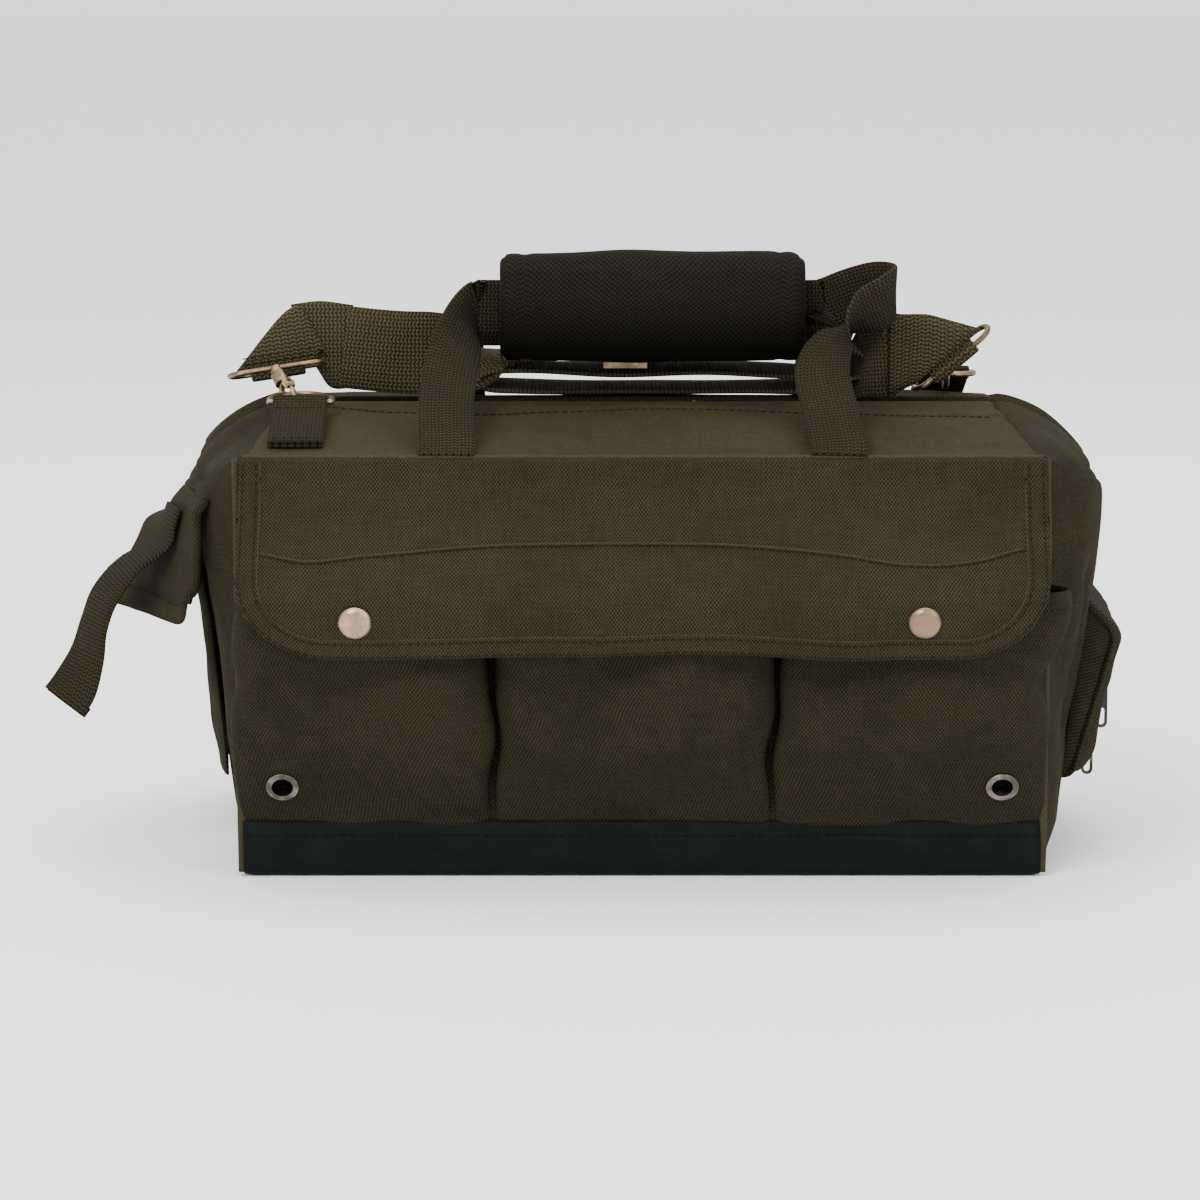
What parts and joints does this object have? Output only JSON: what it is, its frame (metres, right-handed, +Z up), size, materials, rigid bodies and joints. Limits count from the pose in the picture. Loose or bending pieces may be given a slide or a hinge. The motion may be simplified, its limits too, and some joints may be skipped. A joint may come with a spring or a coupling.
{
  "type": "canvas tool bag",
  "caption": "Canvas tool bag with snap-flap front pockets, zipped top, webbing handles in a grip wrap, end pockets and a clip-on shoulder strap.",
  "frame": {"origin": "on the floor, in the middle of the base", "axes": "+X right as the front is faced, +Y towards the back, +Z up"},
  "size_m": [0.4875, 0.2283, 0.2625],
  "materials": {
    "canvas": "woven canvas, washed",
    "canvas_dark": "woven canvas, washed",
    "coated_canvas": "coated canvas, dull sheen",
    "webbing": "coarse cotton webbing",
    "zip_tape": "herringbone zip tape",
    "antique_brass": "antique, worn edges",
    "nickel": "warm nickel, satin",
    "gunmetal": "dark lacquer, worn to bronze at the edges",
    "board": "stiffener board"
  },
  "bodies": {
    "bag": {"base_panel": "coated_canvas", "base_board": "board", "front_panel": "canvas", "back_panel": "canvas", "left_end": "canvas", "right_end": "canvas", "top_front": "canvas", "top_back": "canvas", "main_zip_tapes": "zip_tape", "main_zip_teeth": "antique_brass", "main_zip_stops": "antique_brass", "pocket_left": "canvas_dark", "pocket_middle": "canvas_dark", "pocket_right": "canvas_dark", "snap_studs": "nickel", "eyelet_left": "nickel", "eyelet_right": "nickel", "tab_left": "webbing", "tab_right": "webbing", "end_pocket_right": "canvas", "end_zip_tapes": "zip_tape", "end_zip_teeth": "antique_brass", "end_pocket_left": "canvas_dark", "shoulder_strap": "webbing", "tri_glide": "antique_brass"},
    "flap": {"front_flap": "canvas", "flap_band": "canvas", "snap_caps": "nickel"},
    "front_handle": {"front_handle": "webbing", "grip_wrap": "webbing"},
    "back_handle": {"back_handle": "webbing"},
    "main_slider_left": {"main_slider_left": "antique_brass"},
    "main_slider_right": {"main_slider_right": "antique_brass"},
    "main_pull_left": {"main_pull_left": "gunmetal"},
    "main_pull_right": {"main_pull_right": "gunmetal"},
    "end_slider_upper": {"end_slider_upper": "antique_brass"},
    "end_slider_lower": {"end_slider_lower": "antique_brass"},
    "end_pull_upper": {"end_pull_upper": "gunmetal"},
    "end_pull_lower": {"end_pull_lower": "gunmetal"},
    "ring_left": {"ring_left": "antique_brass"},
    "ring_right": {"ring_right": "antique_brass"},
    "strap_loop_left": {"strap_loop_left": "antique_brass", "strap_end_left": "webbing"},
    "strap_loop_right": {"strap_loop_right": "antique_brass", "strap_end_right": "webbing"},
    "hook_left": {"hook_left": "antique_brass"},
    "hook_right": {"hook_right": "antique_brass"},
    "gate_left": {"gate_left": "antique_brass"},
    "gate_right": {"gate_right": "antique_brass"},
    "end_flap": {"end_flap": "canvas", "end_flap_strap": "webbing"}
  },
  "joints": [
    {"name": "flap_hinge", "type": "hinge", "parent": "bag", "child": "flap", "pos_m": [0, -0.0951, 0.1856], "axis": [-1, 0, 0], "range_deg": [0, 92]},
    {"name": "front_handle_hinge", "type": "hinge", "parent": "bag", "child": "front_handle", "pos_m": [0, -0.0951, 0.1888], "axis": [1, 0, 0], "range_deg": [0, 96]},
    {"name": "back_handle_hinge", "type": "hinge", "parent": "bag", "child": "back_handle", "pos_m": [0, 0.0951, 0.1888], "axis": [-1, 0, 0], "range_deg": [0, 96]},
    {"name": "main_zip_left_slide", "type": "slide", "parent": "bag", "child": "main_slider_left", "axis": [-1, 0, 0], "range_m": [0, 0.05]},
    {"name": "main_zip_right_slide", "type": "slide", "parent": "bag", "child": "main_slider_right", "axis": [1, 0, 0], "range_m": [0, 0.05]},
    {"name": "main_pull_left_swing", "type": "hinge", "parent": "main_slider_left", "child": "main_pull_left", "pos_m": [-0.0244, 0, 0.1992], "axis": [0, 1, 0], "range_deg": [0, 55]},
    {"name": "main_pull_right_swing", "type": "hinge", "parent": "main_slider_right", "child": "main_pull_right", "pos_m": [0.0244, 0, 0.1992], "axis": [0, -1, 0], "range_deg": [0, 55]},
    {"name": "end_zip_upper_slide", "type": "slide", "parent": "bag", "child": "end_slider_upper", "axis": [0.2756, 0, 0.9613], "range_m": [0, 0.009]},
    {"name": "end_zip_lower_slide", "type": "slide", "parent": "bag", "child": "end_slider_lower", "axis": [-0.2756, 0, -0.9613], "range_m": [0, 0.008]},
    {"name": "end_pull_upper_swing", "type": "hinge", "parent": "end_slider_upper", "child": "end_pull_upper", "pos_m": [0.21379, 0, 0.07398], "axis": [0, -1, 0], "range_deg": [0, 90]},
    {"name": "end_pull_lower_swing", "type": "hinge", "parent": "end_slider_lower", "child": "end_pull_lower", "pos_m": [0.20745, 0, 0.05187], "axis": [0, -1, 0], "range_deg": [0, 18]},
    {"name": "ring_left_hinge", "type": "hinge", "parent": "bag", "child": "ring_left", "pos_m": [-0.153, -0.04559, 0.20583], "axis": [1, 0, 0], "range_deg": [0, 12]},
    {"name": "ring_right_hinge", "type": "hinge", "parent": "bag", "child": "ring_right", "pos_m": [0.141, 0.03713, 0.20891], "axis": [-1, 0, 0], "range_deg": [0, 12]},
    {"name": "strap_left_lift", "type": "hinge", "parent": "bag", "child": "strap_loop_left", "pos_m": [-0.153, -0.04559, 0.20583], "axis": [1, 0, 0], "range_deg": [0, 12]},
    {"name": "strap_right_lift", "type": "hinge", "parent": "bag", "child": "strap_loop_right", "pos_m": [0.141, 0.03713, 0.20891], "axis": [-1, 0, 0], "range_deg": [0, 12]},
    {"name": "hook_left_swivel", "type": "hinge", "parent": "strap_loop_left", "child": "hook_left", "pos_m": [-0.16215, -0.02559, 0.21149], "axis": [-0.394, 0.6378, 0.6618], "range_deg": [-12, 12]},
    {"name": "hook_right_swivel", "type": "hinge", "parent": "strap_loop_right", "child": "hook_right", "pos_m": [0.141, 0.01469, 0.21474], "axis": [0, -0.7431, 0.6691], "range_deg": [-12, 12]},
    {"name": "gate_left_hinge", "type": "hinge", "parent": "hook_left", "child": "gate_left", "pos_m": [-0.15864, -0.03171, 0.21192], "axis": [0.866, 0.4988, 0.0349], "range_deg": [0, 22], "stiffness_Nm_per_rad": 0.002, "springref_deg": -11.46},
    {"name": "gate_right_hinge", "type": "hinge", "parent": "hook_right", "child": "gate_right", "pos_m": [0.141, 0.02175, 0.21511], "axis": [-1, 0, 0], "range_deg": [0, 22], "stiffness_Nm_per_rad": 0.002, "springref_deg": -11.46},
    {"name": "end_flap_hinge", "type": "hinge", "parent": "bag", "child": "end_flap", "pos_m": [-0.20035, -0.05077, 0.162], "axis": [-0.2756, 0.9613, 0], "range_deg": [0, 90]}
  ],
  "couplings": [
    {"joint": "ring_left_hinge", "follows": "strap_left_lift", "ratio": 1},
    {"joint": "ring_right_hinge", "follows": "strap_right_lift", "ratio": 1}
  ]
}
